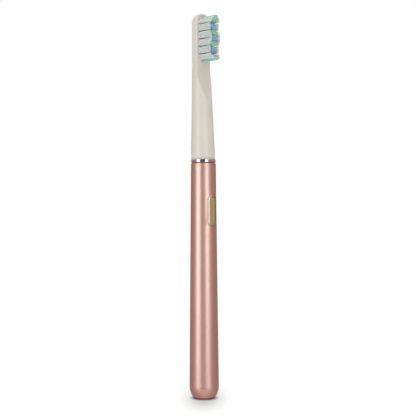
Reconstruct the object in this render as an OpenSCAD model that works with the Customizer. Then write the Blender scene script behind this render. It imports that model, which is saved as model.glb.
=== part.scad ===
// Slim cell-powered toothbrush: pull-off brush head, tapered metal handle, pull-out end cap.
// Millimetres, +Z up, origin at the centre of the foot, bristles and button facing -Y.
// A depth named "front" is a distance ahead of the axis, towards -Y.

/* [Handle] */
// Diameter of the handle at its widest, just above the end cap
handle_low_d = 14.5; // [14.2:0.1:18]
// Diameter of the handle under the collar
handle_top_d = 12.3; // [12.1:0.1:15]
// Length of the tapered metal sleeve
sleeve_length = 109.9; // [104:0.1:135]
// Wall of the metal sleeve
sleeve_wall = 0.6; // [0.4:0.05:0.7]
// Bevel round the sleeve's top edge
sleeve_bevel = 0.3; // [0.1:0.05:0.4]

/* [End cap] */
// Height of the rounded end cap, foot included
cap_height = 6; // [5.4:0.1:8]
// Diameter the cap's curve comes down to at the foot ring
cap_foot_d = 11.4; // [10.5:0.1:12]
// Diameter of the cavity in the cap
cap_cavity_d = 10.6; // [9.6:0.1:10.8]
// Thickness of the cap's floor above the foot
cap_floor = 2; // [1.6:0.1:2.4]
// Height of the polished foot ring
foot_height = 0.9; // [0.6:0.1:1.2]
// Diameter of the face the brush stands on
foot_d = 10.5; // [9:0.1:10.8]
// Inside diameter of the foot ring
foot_bore_d = 8.2; // [7:0.1:8.6]
// Recess of the cap inside the foot ring
foot_recess = 0.3; // [0.1:0.05:0.5]
// How far the plug reaches up into the sleeve
plug_reach = 4.4; // [3.8:0.1:6]
// Width of the seal groove in the plug
groove_width = 1; // [0.9:0.05:1.2]
// Depth of the seal groove in the plug
groove_depth = 0.75; // [0.7:0.05:0.9]
// Thickness of the rubber seals
seal_d = 0.8; // [0.6:0.05:0.85]

/* [Cell] */
// Diameter of the AAA cell
cell_d = 10.5; // [10.5:0.1:10.5]
// Length of the AAA cell over both ends
cell_length = 44.5; // [44.5:0.1:44.5]
// Diameter of the cell's raised end
nub_d = 3.8; // [3.8:0.1:3.8]
// Height of the cell's raised end
nub_height = 1; // [1:0.1:1]
// Diameter of the cell's flat end
cell_base_d = 9.2; // [8:0.1:9.6]
// Thickness of the cell's flat end and of its insulator
cell_disc = 0.2; // [0.1:0.05:0.3]
// Wire of the cell spring
spring_wire = 0.6; // [0.5:0.05:0.8]
// Diameter of the spring at its foot, over the middle of the wire
spring_low_d = 6.4; // [5.8:0.1:6.8]
// Diameter of the spring at its top, over the middle of the wire
spring_top_d = 4.4; // [4:0.1:5.4]
// Turns of the spring
spring_turns = 5; // [4:1:6]

/* [Inside] */
// Thickness of the contact strips
strip = 0.25; // [0.2:0.05:0.3]
// Width of the contact strips
strip_width = 2; // [1.6:0.1:2.4]
// Thickness of the bulkhead over the cell
bulkhead = 2; // [1.6:0.1:2.6]
// Wall of the board tray
tray_wall = 0.9; // [0.7:0.05:1.1]
// Width of the circuit board
board_width = 9.8; // [9.4:0.1:10]
// Thickness of the circuit board
board_thick = 1; // [0.8:0.1:1.2]
// Front face of the circuit board ahead of the axis
board_front = 0.8; // [0.6:0.1:1]
// Shank of the board screws
screw_d = 1.4; // [1.2:0.1:1.6]
// Head of the board screws
screw_head_d = 2.7; // [2.4:0.1:3]
// Length of the control chip
chip_length = 5; // [4:0.1:6]
// Diameter of the capacitor
capacitor_d = 3; // [2.6:0.1:3.2]
// Diameter of the motor leads
lead_d = 0.9; // [0.7:0.05:1]

/* [Button] */
// Length of the button surround
bezel_length = 16.5; // [15:0.1:20]
// Width of the button surround
bezel_width = 5.8; // [5.4:0.1:6]
// Width of the surround's raised edge
crest_width = 4.3; // [4.1:0.1:4.8]
// Height of the surround's side above the handle
bezel_side = 0.36; // [0.1:0.02:0.4]
// Height of the surround's flat edge above the handle's crown
bezel_crest = 0.13; // [0.1:0.01:0.3]
// Depth of the surround's seat below the handle's crown
bezel_depth = 1.42; // [1.3:0.02:1.5]
// Width of the opening in the surround
bezel_opening = 3.7; // [3.5:0.1:3.9]
// Distance of the button's middle below the top of the sleeve
button_drop = 23.65; // [20:0.1:30]
// Gap round the pressed pad
pad_gap = 0.25; // [0.15:0.05:0.35]
// Travel of the button
button_travel = 0.3; // [0.2:0.05:0.4]
// Diameter of the post under the button
post_d = 1.4; // [1.2:0.1:1.5]
// Length of the switch
switch_length = 6; // [5:0.1:7]
// Width of the switch
switch_width = 3.5; // [3:0.1:4]
// Diameter of the switch plunger
plunger_d = 1.6; // [1.4:0.1:1.8]

/* [Nose and motor] */
// Height of the dark gasket under the collar
gasket_height = 0.4; // [0.3:0.05:0.6]
// Height of the polished collar ring
collar_height = 1.5; // [1.2:0.1:2]
// Diameter of the collar ring
collar_d = 12.1; // [11.8:0.1:12.2]
// Diameter of the nose where it passes through the collar
neck_post_d = 9.8; // [9.6:0.1:10.4]
// Length of the nose plug inside the sleeve
nose_plug = 10.4; // [9:0.1:12]
// Length of the nose that enters the brush head
nose_length = 27.5; // [26:0.1:34]
// Diameter of the nose at its foot
nose_low_d = 9.2; // [9:0.1:9.6]
// Diameter of the nose at its tip
nose_tip_d = 6.6; // [6.4:0.1:7]
// Diameter of the motor
motor_d = 6; // [5.8:0.1:6]
// Length of the motor can
motor_length = 12.5; // [11:0.1:15]
// Wall of the rubber boot round the motor
boot_wall = 0.4; // [0.3:0.05:0.4]
// Diameter of the motor shaft
shaft_d = 0.8; // [0.8:0.1:1]
// Diameter of the offset weight
weight_d = 4.8; // [4.2:0.1:5]
// Length of the offset weight
weight_length = 6; // [5:0.1:6.4]
// Diameter of the chamber the weight turns in
chamber_d = 5.5; // [5.3:0.1:5.6]

/* [Brush head] */
// Length of the brush head from its base to its tip
head_length = 72.2; // [68:0.1:90]
// Diameter of the head at its base
head_base_d = 11.7; // [11.6:0.1:12]
// Diameter of the neck where the scoop starts
neck_d = 9.84; // [9.6:0.02:10.4]
// Length of the round neck
neck_length = 32.2; // [30:0.1:38]
// Height of the straight foot of the neck
neck_foot = 4.5; // [3:0.1:8]
// Backward lean of the neck in degrees
neck_lean = 1.18; // [0:0.01:1.6]
// Distance the neck's foot sits behind the axis
neck_back = 0.2; // [0:0.05:0.3]
// Width of the head plate
plate_width = 9.4; // [9:0.1:11]
// Front face of the head plate ahead of the axis
plate_front = 0.4; // [0.1:0.1:0.8]
// Thickness of the head plate
plate_thick = 4.6; // [4.4:0.1:6]
// Rounding of the plate's back edges
plate_round = 2.2; // [1:0.1:2.4]
// Length of the straight part of the plate below its round end
plate_length = 19.3; // [18.6:0.1:26]
// Depth of the scoop's face ahead of the axis where the neck ends
scoop_front = 3.22; // [3:0.02:3.4]
// Slope of the scoop in degrees
scoop_angle = 16.7; // [12:0.1:22]
// Blend between the scoop and the plate
scoop_blend = 30; // [10:1:40]
// Wall of the stiff sleeve inside the neck
insert_wall = 0.35; // [0.3:0.05:0.4]

/* [Bristles] */
// Distance of the bristle field's middle below the tip of the head
field_drop = 13.1; // [12.6:0.1:14]
// Distance from tuft to tuft in the outer rows
row_pitch = 3.7; // [3.4:0.01:3.72]
// Length of an outer tuft
row_tuft = 2.9; // [2.4:0.05:3]
// Width of an outer tuft
row_width = 1.4; // [1.2:0.05:1.6]
// Distance of the outer rows from the middle
row_offset = 2.8; // [2.7:0.05:3]
// Length of a corner tuft
corner_tuft = 2.4; // [2:0.05:2.6]
// Distance of the corner tufts from the middle, along the head
corner_place = 8.93; // [8.7:0.01:9]
// Turn of the four corner tufts in degrees
corner_turn = 24; // [0:1:30]
// Distance from tuft to tuft in the middle row
core_pitch = 2.85; // [2.6:0.05:3]
// Distance of the field's ends from its middle
core_end = 11.15; // [10.8:0.05:11.3]
// Width of an end tuft across the head
end_width = 2.2; // [1.6:0.1:2.3]
// Inward shift of the four corner tufts
corner_shift = 0.35; // [0.2:0.05:0.4]
// Width of a middle tuft across the head
core_width = 3.1; // [2.6:0.1:3.2]
// Length of a middle tuft along the head
core_tuft = 2.2; // [1.8:0.1:2.3]
// Reach of the tips ahead of the axis at the valleys
tip_front = 8; // [7:0.1:9]
// Extra reach of the middle tufts
tip_rise = 0.9; // [0:0.05:1]
// Extra reach of the corner and end tufts
end_rise = 1.6; // [0:0.05:2.2]
// Spread of the tips beyond the roots
splay = 0.12; // [0:0.02:0.16]
// Depth of the tuft holes
tuft_hole = 2.6; // [2:0.1:3]
// Height of the metal anchors at the bottom of the holes
anchor_height = 0.5; // [0.3:0.1:0.8]

/* [Fits] */
// Gap at a face where one piece comes apart from another
part_gap = 0.03; // [0.02:0.01:0.05]
// Gap round a piece that slides or turns
run_gap = 0.05; // [0.03:0.01:0.08]
// Gap round the cell in its tube
cell_gap = 0.1; // [0.05:0.01:0.1]
// Gap between the inside pieces and the sleeve
sleeve_gap = 0.1; // [0.06:0.01:0.2]
// Gap round the end plug in the sleeve
plug_gap = 0.06; // [0.04:0.01:0.1]

/* [Hidden] */
$fn = 96;
eps = 0.01;
low_r = handle_low_d / 2;
top_r = handle_top_d / 2;
z_sleeve = cap_height;
z_top = z_sleeve + sleeve_length;
z_base = z_top + gasket_height + collar_height;
z_tip = z_base + head_length;
plug_top = z_sleeve + plug_reach;
plug_r = sleeve_bore(plug_top) - plug_gap;
groove_z = z_sleeve + plug_reach / 2;
cap_drop = low_r - cap_foot_d / 2;
cap_rise = cap_height - foot_height;
cap_curve = (cap_drop * cap_drop + cap_rise * cap_rise) / (2 * cap_drop);
well_wall = 0.9;
well_r = cap_cavity_d / 2 - well_wall;
well_rise = 2;
tab_inset = 0.3;
tab_gap = 0.4;
well_floor = cap_floor + well_rise;
cell_rise = 1.7;
cell_z = plug_top + cell_rise;
cell_top = cell_z + cell_length;
tube_rise = 0.6;
tube_low = plug_top + tube_rise;
tube_high = cell_top + part_gap + 2 * strip;
tube_r = sleeve_bore(tube_high + bulkhead) - sleeve_gap;
bore_r = cell_d / 2 + cell_gap;
groove_r = (tube_r + bore_r) / 2;
z_tray = tube_high + bulkhead;
strip_side = 1.8;
strip_edge = 3.4;
strip_bed = 0.1;
strip_foot = z_tray + 3;
strip_top = z_tray + 6;
contact_r = 4.2;
contact_pip = 1.2;
z_nose = z_top - nose_plug;
nose_groove_z = z_top - 5;
collar_chamfer = 0.15;
gasket_inset = 0.05;
tray_r = sleeve_bore(z_nose) - sleeve_gap;
board_low = z_tray + 1.5;
board_high = z_nose - 2;
screw_low = z_tray + 5;
screw_high = z_tray + 21;
screw_head = 0.8;
screw_reach = 3.8;
cross_length = 1.8;
cross_width = 0.3;
cross_depth = 0.4;
boss_d = screw_d + 1.6;
part_row = z_tray + 18.5;
chip_z = z_tray + 12.5;
chip_half = 2;
chip_lift = 0.1;
chip_top = 1.5;
leg_reach = 0.3;
leg_length = 1;
leg_height = 0.5;
leg_width = 0.4;
capacitor_side = 3.1;
capacitor_height = 2.4;
coil_side = 3.15;
coil_half = 1.45;
coil_height = 1.5;
coil_dent = 0.3;
coil_hole = 1.8;
button_z = z_top - button_drop;
bezel_span = bezel_length - bezel_width;
skin = sleeve_slice(button_z);
crest = skin + bezel_crest;
edge = sqrt(skin * skin - bezel_width * bezel_width / 4) + bezel_side;
seat = skin - bezel_depth;
bezel_lip = 0.03;
pad_bevel = 0.12;
switch_height = 1.4;
seal_thick = 0.4;
carrier_thick = 0.6;
carrier_front = seat - seal_thick;
carrier_width = 6.4;
carrier_length = bezel_length + 3;
post_end = carrier_front - 0.2;
pad_back = seat + button_travel + 0.05;
pad_front = crest - 0.05;
nose_slope = (nose_low_d - nose_tip_d) / 2 / nose_length;
motor_r = motor_d / 2;
boot_r = motor_r + boot_wall;
z_motor = z_base + 1.8;
lead_side = 1.2;
lead_overlap = 3;
lead_stop = 1.5;
tab_width = 0.8;
tab_height = 0.5;
boot_inset = 0.6;
motor_hub_d = 2;
motor_hub = 0.7;
motor_top = z_motor + motor_length;
boot_top = motor_top + 0.9;
z_weight = motor_top + 2;
chamber_top = z_weight + weight_length + 1.9;
socket_gap = run_gap + 0.01;
z_neck = z_base + neck_length;
neck_shift = neck_back + neck_length * tan(neck_lean);
plate_half = plate_width / 2;
plate_low = z_tip - plate_half - plate_length;
plate_back = plate_thick - plate_front;
z_foot = z_neck + (scoop_front - plate_front) / tan(scoop_angle);
blend_reach = scoop_blend * tan(scoop_angle / 2);
blend_inset = 0.04;
z_field = z_tip - field_drop;
hole_back = plate_front - tuft_hole;
root = hole_back + anchor_height;
end_gap = 0.4;
ROWS = [-2.5, -1.5, -0.5, 0.5, 1.5, 2.5];
BLUE = [-2, 0, 2];
GREEN = [-1, 1];
ENDS = [-1, 1];

// ---- shared shapes ----

// Outside radius of the sleeve at a height.
function sleeve_slice(z) = low_r + (top_r - low_r) * (z - z_sleeve) / sleeve_length;

// Inside radius of the sleeve at a height.
function sleeve_bore(z) = sleeve_slice(z) - sleeve_wall;

// Radius of the nose cone at a height.
function nose_r(z) = nose_low_d / 2 - nose_slope * (z - z_base);

// How far a tuft's tip rises over the valleys, by its place along the head from -2.5 to 2.5.
function rise(i) = abs(i) > 2 ? end_rise : (abs(i) > 1 ? 0 : tip_rise);

// Height of a tuft of the outer rows.
function row_z(i) = z_field + (abs(i) > 2 ? sign(i) * corner_place : i * row_pitch);

// A rod with round ends standing out towards -Y, from front0 to front1, its half width going from a to b.
module lozenge(a, b, span, front0, front1) {
    for (s = [-1, 1])
        translate([0, -front0, s * span / 2])
            rotate([90, 0, 0])
                cylinder(r1 = a, r2 = b, h = front1 - front0);
    translate([0, 0, -span / 2])
        linear_extrude(height = span)
            polygon([[-a, -front0], [a, -front0], [b, -front1], [-b, -front1]]);
}

// A tube standing on z.
module tube(outer, inner, z, h) {
    translate([0, 0, z])
        difference() {
            cylinder(r = outer, h = h);
            translate([0, 0, -1])
                cylinder(r = inner, h = h + 2);
        }
}

// A box given by its two corners, with depths as distances ahead of the axis.
module block(x0, x1, front0, front1, z0, z1) {
    translate([x0, -front1, z0])
        cube([x1 - x0, front1 - front0, z1 - z0]);
}

// ---- end cap ----

module foot_ring() {
    color("#b98a80")
        rotate_extrude()
            polygon([[foot_bore_d / 2, 0],
                [foot_d / 2, 0],
                [cap_foot_d / 2 - run_gap, foot_height],
                [foot_bore_d / 2, foot_height]]);
}

module end_cap() {
    color("#d6a899")
        difference() {
            rotate_extrude()
                union() {
                    intersection() {
                        translate([low_r - cap_curve, cap_height])
                            circle(r = cap_curve);
                        translate([0, foot_height])
                            square([low_r, cap_rise - part_gap]);
                    }
                    translate([0, foot_recess])
                        square([foot_bore_d / 2, foot_height - foot_recess + eps]);
                }
            translate([0, 0, cap_floor])
                cylinder(d = cap_cavity_d, h = cap_height);
        }
}

module cap_plug() {
    color("#e8e6e0")
        difference() {
            union() {
                translate([0, 0, cap_floor])
                    cylinder(d = cap_cavity_d, h = cap_height - part_gap - cap_floor);
                translate([0, 0, cap_height - part_gap])
                    cylinder(r = plug_r, h = plug_reach + part_gap);
            }
            translate([0, 0, well_floor])
                cylinder(r = well_r, h = plug_top);
            tube(plug_r + 1, plug_r - groove_depth, groove_z - groove_width / 2, groove_width);
        }
}

module cap_seal() {
    color("#2b2b2b")
        translate([0, 0, groove_z])
            rotate_extrude()
                translate([plug_r - groove_depth + seal_d / 2, 0])
                    circle(d = seal_d);
}

module spring_plate() {
    color("#c9c5b8")
        union() {
            translate([0, 0, well_floor])
                cylinder(r = well_r - run_gap, h = strip);
            block(-well_r + tab_inset, -well_r + tab_inset + strip, -strip_width / 2, strip_width / 2,
                well_floor, plug_top + strip);
            block(-plug_r + tab_gap, -well_r + tab_inset + strip, -strip_width / 2, strip_width / 2,
                plug_top, plug_top + strip);
        }
}

// The wire is a ring of points carried round a rising, narrowing path.
module cell_spring() {
    steps = spring_turns * 20;
    sides = 8;
    w = spring_wire / 2;
    z0 = well_floor + strip + w;
    z1 = cell_z - part_gap - w;
    points = [for (i = [0:steps], k = [0:sides - 1])
        let (t = i / steps)
        let (turn = 360 * spring_turns * t)
        let (r = (spring_low_d + (spring_top_d - spring_low_d) * t) / 2)
        let (lift = z0 + (z1 - z0) * t)
        let (out = r + w * cos(360 * k / sides))
        [out * cos(turn), out * sin(turn), lift + w * sin(360 * k / sides)]];
    walls = [for (i = [0:steps - 1], k = [0:sides - 1])
        let (a = i * sides + k)
        let (b = i * sides + (k + 1) % sides)
        [a, a + sides, b + sides, b]];
    first = [[for (k = [0:sides - 1]) k]];
    last = [[for (k = [0:sides - 1]) steps * sides + sides - 1 - k]];
    color("#cfcfcf")
        polyhedron(points = points, faces = concat(walls, first, last));
}

// ---- cell ----

module cell_body() {
    color("#8a8f94")
        translate([0, 0, cell_z + cell_disc])
            cylinder(d = cell_d, h = cell_length - nub_height - 2 * cell_disc);
}

module cell_base() {
    color("#c8c8c8")
        translate([0, 0, cell_z])
            cylinder(d = cell_base_d, h = cell_disc);
}

module cell_nub() {
    color("#d0d0d0")
        translate([0, 0, cell_top - nub_height - cell_disc])
            cylinder(d = nub_d, h = nub_height + cell_disc);
}

module cell_insulator() {
    color("#e9e6dc")
        tube(cell_base_d / 2, nub_d / 2, cell_top - nub_height - cell_disc, cell_disc);
}

// ---- handle ----

module handle_sleeve() {
    color("#d9ab9c")
        difference() {
            rotate_extrude()
                polygon([[low_r - sleeve_wall, z_sleeve],
                    [low_r, z_sleeve],
                    [sleeve_slice(z_top - sleeve_bevel), z_top - sleeve_bevel],
                    [top_r - sleeve_bevel, z_top],
                    [top_r - sleeve_wall, z_top]]);
            translate([0, 0, button_z])
                lozenge(bezel_width / 2 + run_gap, bezel_width / 2 + run_gap, bezel_span, 2, low_r + 2);
        }
}

module cell_tube() {
    color("#dcd9d0")
        difference() {
            translate([0, 0, tube_low])
                cylinder(r = tube_r, h = z_tray - tube_low);
            translate([0, 0, tube_low - 1])
                cylinder(r = bore_r, h = tube_high - tube_low + 1);
            intersection() {
                tube(tube_r + 1, groove_r, tube_low - 1, z_tray - tube_low + 2);
                block(-tube_r - 1, 0, -strip_width / 2 - run_gap, strip_width / 2 + run_gap,
                    tube_low - 1, z_tray + 1);
            }
            block(strip_side, strip_side + strip_width, board_front, board_front + strip,
                tube_high - 1, z_tray + 1);
        }
}

module positive_contact() {
    color("#c7c2ae")
        union() {
            translate([0, 0, cell_top + part_gap + strip])
                cylinder(r = contact_r, h = strip);
            translate([0, 0, cell_top + part_gap])
                cylinder(r = contact_pip, h = 2 * strip);
            block(strip_side, strip_side + strip_width, board_front, board_front + strip,
                cell_top + part_gap + strip, strip_top);
        }
}

module negative_strip() {
    color("#c7c2ae")
        union() {
            intersection() {
                tube(groove_r + strip, groove_r, plug_top + strip + part_gap, strip_top - plug_top);
                block(-tube_r - 1, 0, -strip_width / 2, strip_width / 2,
                    plug_top, strip_top);
            }
            block(-groove_r - strip_bed, -bore_r - run_gap, -strip_width / 2, strip_width / 2,
                plug_top + strip + part_gap, tube_low);
            block(-groove_r - strip_bed, -strip_edge, board_front, board_front + strip,
                strip_foot, strip_top);
        }
}

// ---- electronics ----

module board_tray() {
    color("#dcd9d0")
        difference() {
            union() {
                intersection() {
                    tube(tray_r, tray_r - tray_wall, z_tray, z_nose - z_tray);
                    block(-tray_r, tray_r, -tray_r, board_front - board_thick, z_tray, z_nose);
                }
                for (z = [z_tray, z_nose - 1])
                    intersection() {
                        translate([0, 0, z])
                            cylinder(r = tray_r, h = 1);
                        block(-tray_r, tray_r, -tray_r, board_front - board_thick, z, z + 1);
                    }
                for (z = [screw_low, screw_high])
                    translate([0, board_thick - board_front, z])
                        rotate([-90, 0, 0])
                            cylinder(d = boss_d, h = tray_r - tray_wall / 2 - board_thick + board_front);
            }
            for (z = [screw_low, screw_high])
                translate([0, 0, z])
                    rotate([-90, 0, 0])
                        cylinder(d = screw_d, h = 4);
        }
}

module circuit_board() {
    color("#1f6b4a")
        difference() {
            block(-board_width / 2, board_width / 2, board_front - board_thick, board_front,
                board_low, board_high);
            for (z = [screw_low, screw_high])
                translate([0, -board_front - 1, z])
                    rotate([-90, 0, 0])
                        cylinder(d = screw_d + 2 * run_gap, h = board_thick + 2);
        }
}

module board_screws() {
    color("#b8b8b8")
        for (z = [screw_low, screw_high])
            translate([0, 0, z])
                difference() {
                    union() {
                        translate([0, -board_front, 0])
                            rotate([90, 0, 0])
                                cylinder(d = screw_head_d, h = screw_head);
                        translate([0, -board_front - eps, 0])
                            rotate([-90, 0, 0])
                                cylinder(d = screw_d, h = board_front + screw_reach);
                    }
                    for (a = [0, 90])
                        rotate([0, a, 0])
                            translate([-cross_length / 2, -board_front - screw_head - cross_depth,
                                -cross_width / 2])
                                cube([cross_length, 2 * cross_depth, cross_width]);
                }
}

module control_chip() {
    color("#26282b")
        union() {
            block(-chip_half, chip_half, board_front + chip_lift, board_front + chip_top,
                chip_z - chip_length / 2, chip_z + chip_length / 2);
            for (s = [-1, 1], i = [-1.5, -0.5, 0.5, 1.5])
                translate([s * (chip_half + leg_reach), -board_front - leg_height / 2,
                    chip_z + i * chip_length / 4])
                    cube([leg_length, leg_height, leg_width], center = true);
        }
}

module capacitor() {
    color("#30343a")
        translate([capacitor_side, -board_front, part_row])
            rotate([90, 0, 0])
                cylinder(d = capacitor_d, h = capacitor_height);
}

module inductor() {
    color("#3a3733")
        difference() {
            block(-coil_side - coil_half, coil_half - coil_side, board_front, board_front + coil_height,
                part_row - coil_half, part_row + coil_half);
            translate([-coil_side, coil_dent - board_front - coil_height, part_row])
                rotate([90, 0, 0])
                    cylinder(d = coil_hole, h = 2 * coil_dent);
        }
}

module lead(x) {
    translate([x, -board_front - lead_d / 2, board_high - lead_overlap])
        cylinder(d = lead_d, h = z_motor - lead_stop - board_high + lead_overlap);
}

module lead_red() {
    color("#b3332b")
        lead(-lead_side);
}

module lead_black() {
    color("#222222")
        lead(lead_side);
}

// ---- switch and button ----

module switch_body() {
    color("#2c2c2e")
        difference() {
            block(-switch_width / 2, switch_width / 2, board_front, carrier_front - carrier_thick - 0.4,
                button_z - switch_length / 2, button_z + switch_length / 2);
            translate([0, -board_front - 1, button_z])
                rotate([90, 0, 0])
                    cylinder(d = plunger_d + 2 * run_gap, h = carrier_front);
        }
}

module switch_plunger() {
    color("#e6e2d6")
        translate([0, -board_front - switch_height, button_z])
            rotate([90, 0, 0])
                cylinder(d = plunger_d, h = post_end - part_gap - board_front - switch_height);
}

module button_carrier() {
    half = carrier_length / 2;
    color("#dcd9d0")
        difference() {
            union() {
                block(-carrier_width / 2, carrier_width / 2, carrier_front - carrier_thick, carrier_front,
                    button_z - half, button_z + half);
                for (s = [-1, 1], e = [-1, 1])
                    translate([s * (carrier_width / 2 - 0.3), -(board_front + carrier_front) / 2,
                        button_z + e * (half - 1)])
                        cube([0.6, carrier_front - board_front, 2], center = true);
            }
            translate([0, -board_front - 1, button_z])
                rotate([90, 0, 0])
                    cylinder(d = plunger_d + 2 * run_gap, h = low_r);
        }
}

module button_seal() {
    color("#3a3634")
        translate([0, 0, button_z])
            difference() {
                lozenge(bezel_width / 2, bezel_width / 2, bezel_span, carrier_front, seat);
                translate([0, -carrier_front + 1, 0])
                    rotate([90, 0, 0])
                        cylinder(d = post_d + 2 * run_gap, h = 3);
            }
}

module button_bezel() {
    color("#cbb68a")
        translate([0, 0, button_z])
            difference() {
                union() {
                    lozenge(bezel_width / 2, bezel_width / 2, bezel_span, seat, edge);
                    lozenge(bezel_width / 2 - bezel_lip, crest_width / 2, bezel_span, edge, crest);
                }
                lozenge(bezel_opening / 2, bezel_opening / 2, bezel_span, seat - 1, crest + 1);
            }
}

module button_pad() {
    half = bezel_opening / 2 - pad_gap;
    color("#a8906a")
        translate([0, 0, button_z])
            union() {
                lozenge(half, half, bezel_span, pad_back, pad_front - pad_bevel);
                lozenge(half, half - pad_bevel, bezel_span, pad_front - pad_bevel, pad_front);
                translate([0, -post_end, 0])
                    rotate([90, 0, 0])
                        cylinder(d = post_d, h = pad_back - post_end + eps);
            }
}

// ---- nose, collar and motor ----

module nose_housing() {
    lower_r = sleeve_bore(z_top) - sleeve_gap / 2;
    color("#e4e1d9")
        difference() {
            union() {
                translate([0, 0, z_nose])
                    cylinder(r = lower_r, h = nose_plug);
                translate([0, 0, z_top])
                    cylinder(d = neck_post_d, h = z_base - z_top);
                translate([0, 0, z_base])
                    cylinder(d1 = nose_low_d, d2 = nose_tip_d, h = nose_length);
            }
            translate([0, 0, z_nose - 1])
                cylinder(r = boot_r, h = boot_top - z_nose + 1);
            translate([0, 0, z_nose])
                cylinder(d = chamber_d, h = chamber_top - z_nose);
            tube(lower_r + 1, lower_r - groove_depth, nose_groove_z, groove_width);
        }
}

module nose_seal() {
    color("#2b2b2b")
        translate([0, 0, nose_groove_z + groove_width / 2])
            rotate_extrude()
                translate([sleeve_bore(z_top) - sleeve_gap / 2 - groove_depth + seal_d / 2, 0])
                    circle(d = seal_d);
}

module collar_gasket() {
    color("#4a3833")
        tube(top_r - sleeve_bevel - gasket_inset, neck_post_d / 2, z_top, gasket_height);
}

module collar_ring() {
    color("#b98a80")
        rotate_extrude()
            polygon([[neck_post_d / 2, z_top + gasket_height],
                [collar_d / 2 - collar_chamfer, z_top + gasket_height],
                [collar_d / 2, z_top + gasket_height + collar_chamfer],
                [collar_d / 2, z_base - collar_chamfer - part_gap],
                [collar_d / 2 - collar_chamfer, z_base - part_gap],
                [neck_post_d / 2, z_base - part_gap]]);
}

module motor_boot() {
    color("#33302e")
        tube(boot_r, motor_r, z_motor + boot_inset, motor_length - 2 * boot_inset);
}

module motor_can() {
    color("#c4c6c8")
        difference() {
            union() {
                translate([0, 0, z_motor])
                    cylinder(d = motor_d, h = motor_length);
                translate([0, 0, motor_top])
                    cylinder(d = motor_hub_d, h = motor_hub);
            }
            translate([0, 0, z_motor + 1])
                cylinder(d = shaft_d + 2 * run_gap, h = motor_length);
        }
}

module motor_cap() {
    color("#ece7d8")
        union() {
            translate([0, 0, z_motor - 1])
                cylinder(d = motor_d - 0.4, h = 1);
            for (s = [-1, 1])
                translate([s * lead_side, -board_front - lead_d / 2, z_motor - lead_stop + tab_height / 2])
                    cube([tab_width, tab_width, tab_height], center = true);
        }
}

module motor_shaft() {
    color("#d4d4d4")
        translate([0, 0, z_motor + 1 + run_gap])
            cylinder(d = shaft_d, h = z_weight + weight_length + 0.5 - z_motor - 1);
}

module offset_weight() {
    color("#8f8a80")
        difference() {
            union() {
                intersection() {
                    translate([0, 0, z_weight])
                        cylinder(d = weight_d, h = weight_length);
                    translate([-weight_d, 0, z_weight])
                        cube([2 * weight_d, weight_d, weight_length]);
                }
                translate([0, 0, z_weight])
                    cylinder(d = motor_hub_d, h = weight_length);
            }
            translate([0, 0, z_weight - 1])
                cylinder(d = shaft_d, h = weight_length + 2);
        }
}

// ---- brush head ----

// The plate's section, its flat front towards -Y and its back edges rounded.
module plate_section() {
    union() {
        translate([-plate_half, -plate_front])
            square([plate_width, plate_thick - plate_round]);
        translate([-plate_half + plate_round, -plate_front])
            square([plate_width - 2 * plate_round, plate_thick]);
        for (s = [-1, 1])
            translate([s * (plate_half - plate_round), plate_back - plate_round])
                circle(r = plate_round);
    }
}

// One ring of the blend: a rectangle with rounded corners, t going from 0 in the neck to 1 in the plate.
// Its ends lie a little inside the neck and the plate.
function blend_ring(t) =
    let (ease = t * t * (3 - 2 * t))
    let (neck_r = neck_d / 2 - blend_inset)
    let (wide = neck_r + (plate_half - blend_inset - neck_r) * ease)
    let (back = neck_shift + neck_r + (plate_back - blend_inset - neck_shift - neck_r) * ease)
    let (front = neck_r - neck_shift + (plate_front + 0.8 - neck_r + neck_shift) * ease)
    let (back_r = neck_r - 0.02 + (plate_round - neck_r + 0.02) * ease)
    let (front_r = neck_r - 0.02 + (0.32 - neck_r) * ease)
    let (z = z_neck - 1 + (plate_low - z_neck + 2) * t)
    [for (q = [0:3], j = [0:10])
        let (a = 90 * q + 9 * j)
        let (r = q < 2 ? back_r : front_r)
        [(q == 0 || q == 3 ? wide - r : r - wide) + r * cos(a),
            (q < 2 ? back - r : r - front) + r * sin(a), z]];

// The stretch where the round neck turns into the flat plate.
module neck_blend() {
    steps = 12;
    n = 44;
    points = [for (i = [0:steps]) each blend_ring(i / steps)];
    walls = [for (i = [0:steps - 1], k = [0:n - 1])
        let (a = i * n + k)
        let (b = i * n + (k + 1) % n)
        [a, a + n, b + n, b]];
    first = [[for (k = [0:n - 1]) k]];
    last = [[for (k = [0:n - 1]) steps * n + n - 1 - k]];
    polyhedron(points = points, faces = concat(walls, first, last));
}

// Everything ahead of the scoop and the plate's front face.
module scoop() {
    z0 = z_neck - 8;
    z1 = z_foot - blend_reach * cos(scoop_angle);
    z2 = z_foot + blend_reach;
    far = 20;
    rotate([90, 0, -90])
        translate([0, 0, -far])
            linear_extrude(height = 2 * far)
                union() {
                    polygon([[scoop_front + (z_neck - z0) * tan(scoop_angle), z0],
                        [plate_front + blend_reach * sin(scoop_angle), z1],
                        [plate_front, z2],
                        [plate_front, z_tip + 5],
                        [far, z_tip + 5],
                        [far, z0]]);
                    intersection() {
                        translate([plate_front + scoop_blend, z2])
                            circle(r = scoop_blend);
                        translate([plate_front - 1, z1])
                            square([5, z2 - z1]);
                    }
                }
}

// A tuft's rod, straight in its hole and spreading beyond the plate.
module bundle(half, span, front0, front1, spread) {
    lozenge(half, half, span, front0, plate_front);
    lozenge(half, half + spread, span, plate_front, front1);
}

module row_tuft(s, i, front0, front1, spread) {
    corner = abs(i) > 2 ? sign(i) : 0;
    long = corner == 0 ? row_tuft : corner_tuft;
    translate([s * (row_offset - abs(corner) * corner_shift), 0, row_z(i)])
        rotate([0, -s * corner * corner_turn, 0])
            bundle(row_width / 2, long - row_width, front0, front1, spread);
}

module core_tuft(i, front0, front1, spread) {
    translate([0, 0, z_field + i * core_pitch])
        rotate([0, 90, 0])
            bundle(core_tuft / 2, core_width - core_tuft, front0, front1, spread);
}

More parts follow.
